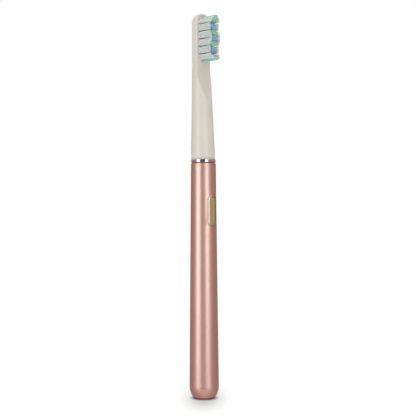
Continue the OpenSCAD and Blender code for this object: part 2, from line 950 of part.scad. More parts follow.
// An end tuft, standing between two corner tufts and a little beyond them.
module end_tuft(s, front0, front1, spread) {
    half = end_width / 2;
    near = 2.5 * core_pitch + end_gap + half;
    far = core_end - half;
    translate([0, 0, z_field + s * (near + far) / 2])
        bundle(half, far - near, front0, front1, spread);
}

module tufts(front0, front1) {
    for (s = [-1, 1], i = ROWS)
        row_tuft(s, i, front0, front1, 0);
    for (i = concat(BLUE, GREEN))
        core_tuft(i, front0, front1, 0);
    for (s = ENDS)
        end_tuft(s, front0, front1, 0);
}

module head_shell() {
    bore = socket_gap + insert_wall;
    color("#ebe6db")
        difference() {
            union() {
                difference() {
                    translate([0, neck_back, z_base])
                        rotate([-neck_lean, 0, 0])
                            union() {
                                translate([0, 0, -0.5])
                                    cylinder(d = head_base_d, h = neck_foot + 0.5);
                                translate([0, 0, neck_foot])
                                    cylinder(d1 = head_base_d, d2 = neck_d, h = neck_length - neck_foot);
                            }
                    translate([-10, -10, z_base - 4])
                        cube([20, 20, 4]);
                }
                neck_blend();
                intersection() {
                    translate([0, 0, plate_low])
                        linear_extrude(height = z_tip - plate_low)
                            plate_section();
                    translate([0, 0, plate_low])
                        plate_outline();
                }
            }
            scoop();
            translate([0, 0, z_base - 1])
                cylinder(r1 = nose_low_d / 2 + nose_slope + bore,
                    r2 = nose_tip_d / 2 - nose_slope * 0.7 + bore,
                    h = nose_length + 1.7);
            tufts(hole_back, plate_front + 1);
        }
}

// The plate seen from the front: straight sides and a round end.
module plate_outline() {
    union() {
        translate([-plate_half, -10, 0])
            cube([plate_width, 20, plate_length]);
        translate([0, 10, plate_length])
            rotate([90, 0, 0])
                cylinder(r = plate_half, h = 20);
    }
}

module neck_insert() {
    low = 1.5;
    color("#f2efe8")
        difference() {
            translate([0, 0, z_base + low])
                cylinder(r1 = nose_low_d / 2 - nose_slope * low + socket_gap + insert_wall,
                    r2 = nose_tip_d / 2 + socket_gap + insert_wall,
                    h = nose_length - low);
            translate([0, 0, z_base])
                cylinder(r1 = nose_low_d / 2 + socket_gap,
                    r2 = nose_tip_d / 2 + socket_gap - nose_slope,
                    h = nose_length + 1);
        }
}

module white_row(s) {
    color("#f4f3ee")
        for (i = ROWS)
            row_tuft(s, i, root, tip_front + rise(i), splay);
}

module white_tufts_left() {
    white_row(-1);
}

module white_tufts_right() {
    white_row(1);
}

module green_tufts() {
    color("#8fcab9")
        union() {
            for (i = GREEN)
                core_tuft(i, root, tip_front, splay);
            for (s = ENDS)
                end_tuft(s, root, tip_front + end_rise, splay);
        }
}

module blue_tufts() {
    color("#7fb2d6")
        for (i = BLUE)
            core_tuft(i, root, tip_front, splay);
}

module anchor(x, z) {
    translate([x, -hole_back - anchor_height / 2, z])
        cube([0.9, anchor_height, 1.2], center = true);
}

module tuft_anchors() {
    color("#b9a56a")
        union() {
            for (s = [-1, 1], i = ROWS)
                anchor(s * (row_offset - (abs(i) > 2 ? corner_shift : 0)), row_z(i));
            for (i = concat(BLUE, GREEN))
                anchor(0, z_field + i * core_pitch);
            for (s = ENDS)
                anchor(0, z_field + s * (core_end - end_width / 2));
        }
}

foot_ring();
end_cap();
cap_plug();
cap_seal();
spring_plate();
cell_spring();
cell_body();
cell_base();
cell_nub();
cell_insulator();
handle_sleeve();
cell_tube();
positive_contact();
negative_strip();
board_tray();
circuit_board();
board_screws();
control_chip();
capacitor();
inductor();
switch_body();
switch_plunger();
button_carrier();
button_seal();
button_bezel();
button_pad();
lead_red();
lead_black();
nose_housing();
nose_seal();
collar_gasket();
collar_ring();
motor_boot();
motor_can();
motor_cap();
motor_shaft();
offset_weight();
head_shell();
neck_insert();
white_tufts_left();
white_tufts_right();
green_tufts();
blue_tufts();
tuft_anchors();
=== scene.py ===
# A slim cell-powered toothbrush: pull-off brush head, tapered rose-gold handle, pull-out end cap.
# Metres, +Z up, the middle of the foot at the origin, bristles and button facing -Y.
import math
import random

import bmesh
import bpy
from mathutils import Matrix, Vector


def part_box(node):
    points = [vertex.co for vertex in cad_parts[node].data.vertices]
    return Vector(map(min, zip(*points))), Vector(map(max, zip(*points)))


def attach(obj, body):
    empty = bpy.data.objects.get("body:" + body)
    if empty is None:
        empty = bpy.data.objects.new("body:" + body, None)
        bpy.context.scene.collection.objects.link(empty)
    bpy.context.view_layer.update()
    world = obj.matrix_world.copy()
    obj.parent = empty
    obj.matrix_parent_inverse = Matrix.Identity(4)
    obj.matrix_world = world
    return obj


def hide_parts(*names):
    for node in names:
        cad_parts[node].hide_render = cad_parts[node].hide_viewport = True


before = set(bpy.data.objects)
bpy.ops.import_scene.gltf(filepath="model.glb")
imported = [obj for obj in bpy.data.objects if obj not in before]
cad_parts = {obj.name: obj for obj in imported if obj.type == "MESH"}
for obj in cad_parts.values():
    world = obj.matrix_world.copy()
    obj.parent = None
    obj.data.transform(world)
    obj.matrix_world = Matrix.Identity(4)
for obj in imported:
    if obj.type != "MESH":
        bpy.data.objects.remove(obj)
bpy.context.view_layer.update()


# ---- Camera ----
# Level with the middle of the brush and a short arm's length away, so that the face with the
# button and the bristles looks past the camera's right shoulder.
view_turn = math.radians(-46.0)
view_far = 0.46
view_height = 0.0938
view_roll = math.radians(0.22)
aside = 0.0022
to_camera = Vector((math.sin(view_turn), -math.cos(view_turn), 0.0))
to_right = Vector((math.cos(view_turn), math.sin(view_turn), 0.0))
lens = bpy.data.cameras.new("camera")
lens.sensor_fit = "HORIZONTAL"
lens.angle = math.radians(25.2)
lens.clip_start = 0.01
camera = bpy.data.objects.new("camera", lens)
bpy.context.scene.collection.objects.link(camera)
camera.location = Vector((0, 0, view_height)) + to_right * aside + to_camera * view_far
camera.rotation_euler = (math.pi / 2, view_roll, view_turn)
bpy.context.scene.camera = camera


# ---- Floor ----
# A pale, matt table top that the brush stands on, wide enough to reach past every view. It is
# part of the stage and not of the brush.
class Wire:
    """One output of a shader tree, so that shader maths reads as plain sums."""

    def __init__(self, tree, socket):
        self.tree = tree
        self.socket = socket

    def node(self, kind, settings=None, inputs=None, output=0):
        """A new node of the tree: its settings first, then the values or wires of its inputs."""
        made = self.tree.nodes.new(kind)
        for key, value in (settings or {}).items():
            if key == "stops":
                ramp = made.color_ramp
                while len(ramp.elements) < len(value):
                    ramp.elements.new(0.5)
                for element, (place, shade) in zip(ramp.elements, value):
                    element.position = place
                    element.color = (*shade, 1.0)
            else:
                setattr(made, key, value)
        for key, value in (inputs or {}).items():
            plug(self.tree, made.inputs[key], value)
        return Wire(self.tree, made.outputs[output])

    def math(self, operation, first, second=0.0):
        """A Math node on two values or wires."""
        return self.node("ShaderNodeMath", {"operation": operation}, {0: first, 1: second})

    def __add__(self, other):
        return self.math("ADD", self, other)

    def __radd__(self, other):
        return self.math("ADD", other, self)

    def __mul__(self, other):
        return self.math("MULTIPLY", self, other)

    def __rmul__(self, other):
        return self.math("MULTIPLY", other, self)

    def mix(self, low, high):
        """A colour going from low to high as this value goes from 0 to 1."""
        return self.node("ShaderNodeMix", {"data_type": "RGBA"}, {0: self, 6: low, 7: high}, 2)

    def dot(self, direction):
        """How far this vector reaches along a direction."""
        return self.node("ShaderNodeVectorMath", {"operation": "DOT_PRODUCT"},
                         {0: self, 1: direction}, 1)

    def rise(self, start, end):
        """0 up to the start value and 1 from the end value on, with a straight line between."""
        return self.node("ShaderNodeMapRange", None, {"Value": self, "From Min": start, "From Max": end})

    def noise(self, scale, detail=2.0, stretch=(1.0, 1.0, 1.0)):
        """Soft noise from 0 to 1 over these coordinates, scale in ripples per metre."""
        spread = self.node("ShaderNodeMapping", None, {"Vector": self, "Scale": stretch})
        return self.node("ShaderNodeTexNoise", None,
                         {"Vector": spread, "Scale": scale, "Detail": detail})

    def bump(self, height, distance, strength):
        """A surface normal roughened by a height from 0 to 1, the distance in metres."""
        return self.node("ShaderNodeBump", None,
                         {"Height": height, "Distance": distance, "Strength": strength})


def plug(tree, socket, value):
    """Sets a socket to a value or a colour, or links a wire to it."""
    if isinstance(value, Wire):
        tree.links.new(value.socket, socket)
    elif isinstance(value, (tuple, list)) and socket.type == "RGBA":
        socket.default_value = (*value[:3], 1.0)
    else:
        socket.default_value = value


def finish(name):
    """A new material: the material, its surface shader and its object coordinates."""
    material = bpy.data.materials.new(name)
    material.use_nodes = True
    shader = material.node_tree.nodes["Principled BSDF"]
    return material, shader, Wire(material.node_tree, None).node("ShaderNodeTexCoord", output="Object")


def settle(material, shader, **values):
    """Sets the surface shader's sockets, named with underscores for spaces."""
    for key, value in values.items():
        plug(material.node_tree, shader.inputs[key.replace("_", " ")], value)


# The table glows almost white and runs into the white behind the brush; a soft shadow is painted into
# its glow round the foot, drawn out along shadow_way, with a darker painted contact shadow at the foot's
# edge. Each stop of the painted shadow is a distance and a grey.
shadow_way = Vector((-0.72, -0.69, 0.0))
shadow_side = Vector((0.69, -0.72, 0.0))
shadow_squeeze = 0.12
contact_r = 0.0048
contact_end = 0.0075
shadow_stops = [(0.0, 0.52), (0.0045, 0.56), (0.0065, 0.70), (0.0081, 0.80), (0.0097, 0.88),
                (0.014, 0.95), (0.9, 0.97)]
table_r = 3.0
table_top, shader, at = finish("table_top")
beside = at.dot(shadow_side)
before = at.dot(shadow_way)
away = at.node("ShaderNodeVectorMath", {"operation": "LENGTH"}, {0: at}, 1)
# Painted contact shadow: the glow darkens close round the foot's edge.
edge = away.rise(contact_r, contact_end)
squares = beside * beside + before * before * shadow_squeeze
soft = squares.math("SQRT", squares)
# Painted shadow: the glow turns greyer near the foot, drawn out along shadow_way.
painted_shadow = soft.node("ShaderNodeValToRGB",
                 {"stops": [(place, (grey, grey, grey)) for place, grey in shadow_stops]},
                 {"Fac": soft})
grain = at.noise(6.0)
settle(table_top, shader, Roughness=0.9, Emission_Strength=1.0,
       Base_Color=grain.mix((0.032, 0.032, 0.032), (0.042, 0.042, 0.042)),
       Emission_Color=edge.mix((0.09, 0.09, 0.09), painted_shadow))
bpy.ops.object.select_all(action="DESELECT")
bpy.ops.mesh.primitive_circle_add(vertices=96, radius=table_r, fill_type="NGON", location=(0, 0, 0))
floor = bpy.context.object
floor.name = "table"
floor.data.materials.append(table_top)
floor.visible_glossy = False


# ---- Light ----
# Two tall soft panels left and right of the camera, a wide one overhead, and a dim warm room that
# the metal mirrors between and beside them. The camera sees plain white behind the brush.
def panel(name, turn, far, width, height, middle, glow):
    """A soft panel that looks at the brush's axis, turned from the camera; glow is a radiance."""
    data = bpy.data.lights.new(name, "AREA")
    data.shape = "RECTANGLE"
    data.size = width
    data.size_y = height
    data.energy = glow * math.pi * width * height
    lamp = bpy.data.objects.new(name, data)
    bpy.context.scene.collection.objects.link(lamp)
    angle = view_turn + math.radians(turn)
    away = Vector((math.sin(angle), -math.cos(angle), 0.0))
    lamp.location = Vector((0, 0, middle)) + away * far
    lamp.rotation_euler = (math.pi / 2, 0, angle)
    lamp.visible_camera = False
    return lamp


panel("left_panel", turn=-48.0, far=0.7, width=0.37, height=0.80, middle=0.30, glow=1.84)
panel("right_panel", turn=31.0, far=0.7, width=0.33, height=0.80, middle=0.30, glow=1.66)
top_panel = panel("top_panel", turn=0.0, far=0.0, width=1.2, height=1.2, middle=0.9, glow=1.0)
top_panel.rotation_euler = (0, 0, 0)
top_panel.visible_glossy = False

room = bpy.data.worlds.new("room")
room.use_nodes = True
bpy.context.scene.world = room
room_air = Wire(room.node_tree, None)
seen = room_air.node("ShaderNodeLightPath", output="Is Camera Ray")
mirrored = room_air.node("ShaderNodeLightPath", output="Is Glossy Ray")
heading = room_air.node("ShaderNodeTexCoord", output="Generated")
upward = heading.node("ShaderNodeSeparateXYZ", None, {"Vector": heading}, 2)
low_room = upward.rise(0.0, -0.4)
high_room = upward.rise(0.35, 0.8)
facing = heading.dot(to_camera)
gap = facing.rise(0.80, 0.93)
below = facing.rise(0.1, 0.9)
around = gap.mix((0.34, 0.225, 0.205), (0.11, 0.065, 0.06))
around = low_room.mix(around, below.mix((0.36, 0.25, 0.23), (0.68, 0.56, 0.52)))
around = high_room.mix(around, (0.75, 0.66, 0.60))
walls = mirrored.mix((0.42, 0.42, 0.42), around)
backdrop = room.node_tree.nodes["Background"]
plug(room.node_tree, backdrop.inputs["Color"], seen.mix(walls, (1.0, 1.0, 1.0)))
bpy.context.scene.view_settings.view_transform = "Standard"


# ---- Foot ring and end cap ----
# The brush stands on a narrow polished ring pressed into the recess of a round-bottomed cap. Both
# are aluminium; the cap has the same satin rose-gold lacquer as the handle.
def rose_satin():
    """Satin lacquer over drawn metal: a fine sparkle and faint streaks along the handle."""
    material, shader, at = finish("satin_rose_gold")
    sparkle = at.noise(5200.0, 1.0)
    streaks = at.noise(620.0, 3.0, (1.0, 1.0, 0.03))
    cloud = at.noise(45.0, 2.0)
    settle(material, shader, Metallic=1.0, Coat_Roughness=0.3,
           Base_Color=(streaks * 0.5 + cloud * 0.5).mix((0.86, 0.615, 0.535), (0.95, 0.70, 0.615)),
           Roughness=0.38 + sparkle * 0.06,
           Normal=sparkle.bump(sparkle * 0.7 + streaks * 0.3, 0.00004, 0.5))
    return material


def rose_polish(name, low, high):
    """Mirror plating with faint turning marks round the ring."""
    material, shader, at = finish(name)
    rings = at.noise(900.0, 2.0, (0.04, 0.04, 1.0))
    settle(material, shader, Metallic=1.0,
           Base_Color=rings.mix(low, high),
           Roughness=0.05 + rings * 0.05,
           Normal=rings.bump(rings, 0.00001, 0.3))
    return material


def coat(node, material):
    """Gives a part of the frame its finish."""
    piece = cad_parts[node]
    piece.data.materials.clear()
    piece.data.materials.append(material)


satin_rose = rose_satin()
# Painted shade: the foot ring's plating is a darkened copy of the collar's, standing for the shadowed
# floor the real ring would mirror.
coat("foot_ring", rose_polish("foot_rose_gold_painted_shade", (0.30, 0.19, 0.18), (0.38, 0.25, 0.24)))
coat("end_cap", satin_rose)


# ---- Cap plug, seal, spring plate and spring ----
# Inside the cap a white moulded plug pushes into the handle and seals on a black rubber ring. A
# plated plate in its well carries the coil that presses the cell up and takes its current.
def moulded(name, low, high, rough):
    """Moulded plastic: a slightly uneven colour and the fine grain of a spark-eroded mould."""
    material, shader, at = finish(name)
    cloud = at.noise(160.0, 3.0)
    grain = at.noise(3600.0, 2.0)
    settle(material, shader, Base_Color=cloud.mix(low, high), Roughness=rough + grain * 0.14,
           Normal=grain.bump(grain, 0.00003, 0.6))
    return material


def plated(name, low, high, rough, stretch=(1.0, 1.0, 1.0)):
    """Bare or plated metal with fine rolling or drawing marks."""
    material, shader, at = finish(name)
    marks = at.noise(1500.0, 3.0, stretch)
    settle(material, shader, Metallic=1.0,
           Base_Color=marks.mix(low, high),
           Roughness=rough + marks * 0.12,
           Normal=marks.bump(marks, 0.00002, 0.5))
    return material


white_moulding = moulded("white_moulding", (0.72, 0.71, 0.67), (0.80, 0.79, 0.75), 0.38)
black_rubber = moulded("black_rubber", (0.012, 0.012, 0.012), (0.024, 0.023, 0.022), 0.62)
spring_plating = plated("spring_plating", (0.62, 0.60, 0.53), (0.74, 0.72, 0.66), 0.2)
coat("cap_plug", white_moulding)
coat("cap_seal", black_rubber)
coat("spring_plate", spring_plating)
coat("cell_spring", spring_plating)


# ---- Cell ----
# One standard AAA cell: a steel can in a plain grey film with a darker band, its bare base and
# nub, and a fibre washer round the nub.
def cell_film():
    """Printed film: a grey sleeve whose top part, towards the nub, is a darker band."""
    material, shader, at = finish("cell_film")
    z = at.node("ShaderNodeSeparateXYZ", None, {"Vector": at}, 2)
    low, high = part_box("cell_body")[0][2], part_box("cell_body")[1][2]
    band_share = 0.3
    band = z.math("GREATER_THAN", z, high - band_share * (high - low))
    scuffs = at.noise(700.0, 4.0, (1.0, 1.0, 0.2))
    settle(material, shader, Metallic=0.55,
           Base_Color=(band * 0.85 + scuffs * 0.15).mix((0.30, 0.32, 0.34), (0.055, 0.06, 0.07)),
           Roughness=0.28 + scuffs * 0.16, Coat_Weight=0.4,
           Normal=scuffs.bump(scuffs, 0.00001, 0.4))
    return material


cell_steel = plated("cell_steel", (0.56, 0.56, 0.57), (0.68, 0.68, 0.68), 0.16)
fibre = moulded("fibre", (0.66, 0.63, 0.55), (0.78, 0.75, 0.68), 0.75)
coat("cell_body", cell_film())
coat("cell_base", cell_steel)
coat("cell_nub", cell_steel)
coat("cell_insulator", fibre)


# ---- Cell tube and its contacts ----
# A grey-white moulded tube slides up the handle and holds the cell. A plated disc closes its top
# on the nub, and a plated strip runs down its side to the plate in the cap.
contact_plating = plated("contact_plating", (0.60, 0.55, 0.38), (0.72, 0.68, 0.52), 0.2,
                         (1.0, 1.0, 0.08))
tube_moulding = moulded("tube_moulding", (0.64, 0.63, 0.60), (0.70, 0.69, 0.66), 0.45)
coat("cell_tube", tube_moulding)
coat("positive_contact", contact_plating)
coat("negative_strip", contact_plating)


# ---- Board, tray and parts ----
# The board lies on a half-round tray and two cross-head screws hold it. It carries a control
# chip, a capacitor, a small coil and the button's switch.
def solder_mask():
    """Green mask over the glass weave, with paler copper runs under it."""
    material, shader, at = finish("solder_mask")
    weave = at.node("ShaderNodeTexWave", {"wave_type": "BANDS", "bands_direction": "Z"},
                    {"Vector": at, "Scale": 900.0, "Distortion": 1.0, "Detail": 1.0})
    upright = at.node("ShaderNodeMapping", None, {"Vector": at, "Rotation": (math.pi / 2, 0, 0)})
    runs = at.node("ShaderNodeTexBrick", None,
                   {"Vector": upright,
                    "Color1": (0.0, 0.0, 0.0), "Color2": (0.0, 0.0, 0.0), "Mortar": (1.0, 1.0, 1.0),
                    "Scale": 1.0, "Mortar Size": 0.0001, "Mortar Smooth": 0.2,
                    "Brick Width": 0.0034, "Row Height": 0.0012}, 1)
    settle(material, shader, Base_Color=runs.mix((0.008, 0.10, 0.055), (0.03, 0.21, 0.11)),
           Roughness=0.26 + weave * 0.1, Coat_Weight=0.3,
           Normal=runs.bump(runs * 0.8 + weave * 0.2, 0.00003, 0.6))
    return material


chip_epoxy = moulded("chip_epoxy", (0.012, 0.012, 0.014), (0.026, 0.026, 0.028), 0.5)
coil_ferrite = moulded("coil_ferrite", (0.035, 0.03, 0.027), (0.06, 0.055, 0.05), 0.55)
screw_zinc = plated("screw_zinc", (0.52, 0.53, 0.54), (0.66, 0.66, 0.66), 0.24)
can_film = moulded("can_film", (0.02, 0.022, 0.03), (0.035, 0.04, 0.05), 0.3)
coat("board_tray", tube_moulding)
coat("circuit_board", solder_mask())
coat("board_screws", screw_zinc)
coat("control_chip", chip_epoxy)
coat("capacitor", can_film)
coat("inductor", coil_ferrite)


# ---- Switch and button carrier ----
# A click switch stands under the button. Its white plunger goes through a moulded bridge that
# carries a rubber seal, and the button's frame is pressed down on that seal.
switch_nylon = moulded("switch_nylon", (0.014, 0.014, 0.016), (0.028, 0.028, 0.03), 0.42)
plunger_nylon = moulded("plunger_nylon", (0.74, 0.71, 0.62), (0.82, 0.79, 0.71), 0.4)
coat("switch_body", switch_nylon)
coat("switch_plunger", plunger_nylon)
coat("button_carrier", tube_moulding)
coat("button_seal", black_rubber)


# ---- Button frame and pad ----
# A long slot-shaped frame of pale gold plating with a bright bevel, and the flat gold-brown pad
# that is pressed inside it.
def gold(name, low, high, rough, metal):
    """Brushed plating; the less metal, the more it keeps its own colour away from the lights."""
    material, shader, at = finish(name)
    brush = at.noise(2400.0, 3.0, (1.0, 1.0, 0.04))
    settle(material, shader, Metallic=metal,
           Base_Color=brush.mix(low, high),
           Roughness=rough + brush * 0.08,
           Normal=brush.bump(brush, 0.00002, 0.35))
    return material


coat("button_bezel", gold("pale_gold", (0.56, 0.50, 0.35), (0.64, 0.57, 0.42), 0.26, 0.8))
coat("button_pad", gold("brown_gold", (0.50, 0.39, 0.22), (0.58, 0.46, 0.28), 0.34, 0.5))


# ---- Handle sleeve ----
# A thin drawn aluminium tube, a little narrower at the top, lacquered in satin rose gold. Its
# top edge is turned to a small bevel that catches the light.
coat("handle_sleeve", satin_rose)


# ---- Leads, nose, motor and weight ----
# A white moulded nose closes the handle and its cone reaches up inside the head. It holds a small
# steel motor in a rubber boot, and the half-round weight on its shaft shakes the nose.
red_lead = moulded("red_lead", (0.36, 0.03, 0.022), (0.46, 0.045, 0.033), 0.4)
black_lead = moulded("black_lead", (0.010, 0.010, 0.010), (0.02, 0.02, 0.02), 0.4)
motor_steel = plated("motor_steel", (0.52, 0.53, 0.55), (0.64, 0.65, 0.67), 0.2, (0.05, 0.05, 1.0))
motor_nylon = moulded("motor_nylon", (0.76, 0.73, 0.64), (0.84, 0.81, 0.73), 0.36)
sintered = plated("sintered", (0.22, 0.20, 0.17), (0.36, 0.33, 0.29), 0.48)
coat("lead_red", red_lead)
coat("lead_black", black_lead)
coat("nose_housing", white_moulding)
coat("nose_seal", black_rubber)
coat("motor_boot", black_rubber)
coat("motor_can", motor_steel)
coat("motor_cap", motor_nylon)
coat("motor_shaft", motor_steel)
coat("offset_weight", sintered)


# ---- Collar ----
# A plated metal ring, polished like a mirror in rose gold, is pressed on at the top of the handle.
# A thin dark brown rubber gasket lies under it and keeps water out of the sleeve.
gasket_rubber = moulded("gasket_rubber", (0.022, 0.011, 0.009), (0.035, 0.018, 0.014), 0.5)
coat("collar_gasket", gasket_rubber)
coat("collar_ring", rose_polish("polished_rose_gold", (0.90, 0.74, 0.80), (0.98, 0.82, 0.88)))


# ---- Brush head ----
# The push-on head is moulded in cream plastic: a leaning round neck that flattens into a plate
# with a scooped front. A thin white sleeve inside its neck grips the nose.
def cream_moulding():
    """Glossy cream plastic, smooth, with a faint cloud and a soft inner glow."""
    material, shader, at = finish("cream_moulding")
    cloud = at.noise(120.0, 3.0)
    ripple = at.noise(420.0, 2.0)
    settle(material, shader, Base_Color=cloud.mix((0.63, 0.597, 0.525), (0.67, 0.637, 0.565)),
           Roughness=0.3 + ripple * 0.08, Subsurface_Weight=0.15, Subsurface_Scale=0.0015,
           Coat_Weight=0.25 + cloud * 0.1, Coat_Roughness=0.2,
           Normal=ripple.bump(ripple, 0.00002, 0.25))
    return material


# Sizes of the shell in millimetres, measured from the frame's own base and tip. The neck starts
# blending into the plate a little below neck_z and is done a little above plate_z.
MM = 0.001
base_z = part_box("head_shell")[0][2] / MM
tip_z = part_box("head_shell")[1][2] / MM
crown_gap = 0.3
crown_z = tip_z - crown_gap
crown_point = 0.004
foot_r = 5.85
foot_height = 4.5
foot_top = base_z + foot_height
foot_bevel = 0.15
neck_r = 4.92
neck_drop = 40.0
neck_z = tip_z - neck_drop
neck_set = 0.2
lean = math.tan(math.radians(1.18))
blend_over = 1.0
plate_drop = 24.0
plate_z = tip_z - plate_drop
plate_w = 4.7
plate_front = 0.4
plate_back = 4.2
back_round = 2.2
tip_round = 2.0
soft_edge = 0.35
scoop_angle = math.radians(16.7)
scoop_slope = math.tan(scoop_angle)
scoop_start = 3.22
scoop_stock = 0.8
scoop_turn = 30.0
turn_end = neck_z + (scoop_start - plate_front) / scoop_slope + scoop_turn * math.tan(scoop_angle / 2)
turn_start = turn_end - scoop_turn * math.sin(scoop_angle)
narrowest_face = 0.3
socket_low_r = 5.01
socket_high_r = 3.72
socket_depth = 28.2
socket_top = base_z + socket_depth
socket_point = 0.01

# How many steps the shell's outline and height are made in. The close rows along the scoop start
# and end these distances, in millimetres, below neck_z and above plate_z.
round_steps = 16
side_steps = 32
edge_steps = 4
face_steps = 6
socket_rows = 6
neck_rows = 16
scoop_rows = 52
scoop_rows_below = 4.5
scoop_rows_above = 2.0
plate_rows = 9
crown_rows = 20


def set_back(z):
    """How far the neck's centre lies behind the axis."""
    return neck_set + (min(z, neck_z) - base_z) * lean


def scoop_face(z):
    """The scooped face's distance ahead of the axis."""
    if z >= turn_end:
        drop = max(0.0, z - (crown_z - soft_edge))
        return plate_front - (soft_edge - math.sqrt(max(0.0, soft_edge ** 2 - drop ** 2)))
    if z >= turn_start:
        return plate_front + scoop_turn - math.sqrt(scoop_turn ** 2 - (turn_end - z) ** 2)
    return scoop_start + (neck_z - z) * scoop_slope


def section(z):
    """Half width, back, front, back rounding and front rounding of the shell before the scoop."""
    r = foot_r
    if z > foot_top:
        r += (neck_r - foot_r) * min(1.0, (z - foot_top) / (neck_z - foot_top))
    r -= foot_bevel * max(0.0, 1 - (z - base_z) / foot_bevel)
    if z <= neck_z - blend_over:
        return r, set_back(z) + r, r - set_back(z), r, r
    step = min(1.0, (z - neck_z + blend_over) / (plate_z - neck_z + 2 * blend_over))
    ease = step * step * (3 - 2 * step)
    shift = set_back(z)
    wide = r + (plate_w - r) * ease
    back = shift + r + (plate_back - shift - r) * ease
    front = r - shift + (plate_front + scoop_stock - r + shift) * ease
    back_r = r + (back_round - r) * ease
    front_r = r + (soft_edge - r) * ease
    above = z - (crown_z - plate_w)
    if above > 0:
        wide = max(crown_point, math.sqrt(max(0.0, plate_w ** 2 - above ** 2)))
    over = z - (crown_z - tip_round)
    if over > 0:
        back -= tip_round - math.sqrt(max(0.0, tip_round ** 2 - over ** 2))
    return wide, back, front, min(back_r, wide), min(front_r, wide)


def along(path, places):
    """Points at these shares of a path's length."""
    lengths = [0.0]
    for p, q in zip(path, path[1:]):
        lengths.append(lengths[-1] + math.dist(p, q))
    points = []
    k = 0
    for place in places:
        want = place * lengths[-1]
        while k < len(path) - 2 and lengths[k + 1] < want:
            k += 1
        share = (want - lengths[k]) / max(1e-9, lengths[k + 1] - lengths[k])
        points.append(tuple(a + (b - a) * share for a, b in zip(path[k], path[k + 1])))
    return points


def half_ring(z):
    """Half of the shell's outline at a height, from mid-back round to mid-front."""
    wide, back, front, back_r, front_r = section(z)
    face = min(scoop_face(z), front)
    path = [(0.0, back)]
    for step in range(round_steps + 1):
        a = math.radians(90 - 90 * step / round_steps)
        path.append((wide - back_r + back_r * math.cos(a), back - back_r + back_r * math.sin(a)))
    for step in range(round_steps + 1):
        a = math.radians(-90 * step / round_steps)
        path.append((wide - front_r + front_r * math.cos(a), front_r - front + front_r * math.sin(a)))
    path.append((0.0, -front))
    kept = [path[0]]
    for p, q in zip(path, path[1:]):
        if q[1] < -face:
            share = (p[1] + face) / max(1e-9, p[1] - q[1])
            kept.append((p[0] + (q[0] - p[0]) * share, -face))
            break
        kept.append(q)
    corner = kept[-1]
    total = sum(math.dist(p, q) for p, q in zip(kept, kept[1:]))
    if corner[0] < narrowest_face:
        most = 1 - narrowest_face / total
        rest = edge_steps + face_steps
        return along(kept, [most * k / side_steps for k in range(side_steps + 1)]
                     + [most + (1 - most) * k / rest for k in range(1, rest + 1)])
    reach = min(soft_edge, corner[0] / 2)
    side = along(kept, [(total - reach) / total * k / side_steps for k in range(side_steps + 1)])
    after = (corner[0] - reach, -face)
    edge = []
    for step in range(1, edge_steps):
        t = step / edge_steps
        edge.append(tuple((1 - t) ** 2 * a + 2 * t * (1 - t) * b + t * t * c
                          for a, b, c in zip(side[-1], corner, after)))
    flat = [(after[0] * (1 - k / face_steps), -face) for k in range(face_steps + 1)]
    return side + edge + flat


# The rows of the shell's grid: up its outside from the base to the crown, and the socket inside.
heights = [base_z, base_z + foot_bevel]
heights += [base_z + foot_bevel + (neck_z - scoop_rows_below - base_z) * k / neck_rows
            for k in range(1, neck_rows + 1)]
heights += [heights[-1] + (plate_z + scoop_rows_above - heights[-1]) * k / scoop_rows
            for k in range(1, scoop_rows + 1)]
heights += [heights[-1] + (crown_z - plate_w - heights[-1]) * k / plate_rows
            for k in range(1, plate_rows + 1)]
heights += [crown_z - plate_w + plate_w * math.sin(math.pi / 2 * k / crown_rows)
            for k in range(1, crown_rows + 1)]
socket = [(socket_point, socket_top)]
socket += [(socket_high_r + (socket_low_r - socket_high_r) * k / socket_rows,
            socket_top - (socket_top - base_z) * k / socket_rows)
           for k in range(socket_rows + 1)]
half = side_steps + edge_steps + face_steps
columns = 2 * half + 1
bpy.ops.object.select_all(action="DESELECT")
bpy.ops.mesh.primitive_grid_add(x_subdivisions=2 * half,
                                y_subdivisions=len(socket) + len(heights) - 1, size=1)
shell = bpy.context.object
shell.name = "moulded_head"
for row, (r, z) in enumerate(socket):
    for column in range(columns):
        turn = math.pi / 2 - 2 * math.pi * column / (2 * half)
        point = Vector((r * math.cos(turn), r * math.sin(turn), z))
        shell.data.vertices[row * columns + column].co = point * MM
for row, z in enumerate(heights, len(socket)):
    right = half_ring(z)
    outline = right + [(-x, y) for x, y in reversed(right[:-1])]
    for column, (x, y) in enumerate(outline):
        shell.data.vertices[row * columns + column].co = Vector((x, y, z)) * MM
bpy.ops.object.mode_set(mode="EDIT")
bpy.ops.mesh.select_all(action="SELECT")
bpy.ops.mesh.remove_doubles(threshold=0.00001)
bpy.ops.mesh.normals_make_consistent(inside=False)
bpy.ops.object.mode_set(mode="OBJECT")
bpy.ops.object.shade_smooth_by_angle(angle=math.radians(50))
cream = cream_moulding()
shell.data.materials.append(cream)
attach(shell, "head")
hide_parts("head_shell")
coat("neck_insert", white_moulding)


# ---- Bristles ----
# Nylon filaments stand in tufts, folded round flat brass wires at the bottom of their holes:
# white outer rows that spread until their tips meet, and blue and green tufts down the middle.
def filament(name, low, high):
    """Drawn nylon: clear enough to glow a little, each strand a shade of its own."""
    material, shader, at = finish(name)
    strands = at.noise(5200.0, 1.0, (1.0, 0.02, 1.0))
    length = at.noise(900.0, 2.0)
    settle(material, shader, Base_Color=(strands * 0.75 + length * 0.25).mix(low, high),
           Roughness=0.34 + strands * 0.12, Subsurface_Weight=0.3, Subsurface_Scale=0.0006,
           Normal=strands.bump(length, 0.00001, 0.3))
    return material


# Sizes in millimetres. The strands stand on a close grid, its rows row_share of a pitch apart; stray
# and uneven are how far a tip may lean and be cut off the line.
field_drop = 13.1
field_z = tip_z - field_drop
strand = 0.17
strand_pitch = 0.19
strand_sides = 5
row_share = 0.866
root_sink = 0.3
root_face = plate_front - root_sink
stray = 0.05
uneven = 0.06
tip_share = 0.75
tip_bevel = 0.07
tip_level = 7.6
peak_rise = 1.3
peak_reach = 3.6
end_from = 7.2
end_most = 1.85
end_slope = 0.64
right_slope = 0.45
right_from = 2
dice = random.Random(7)


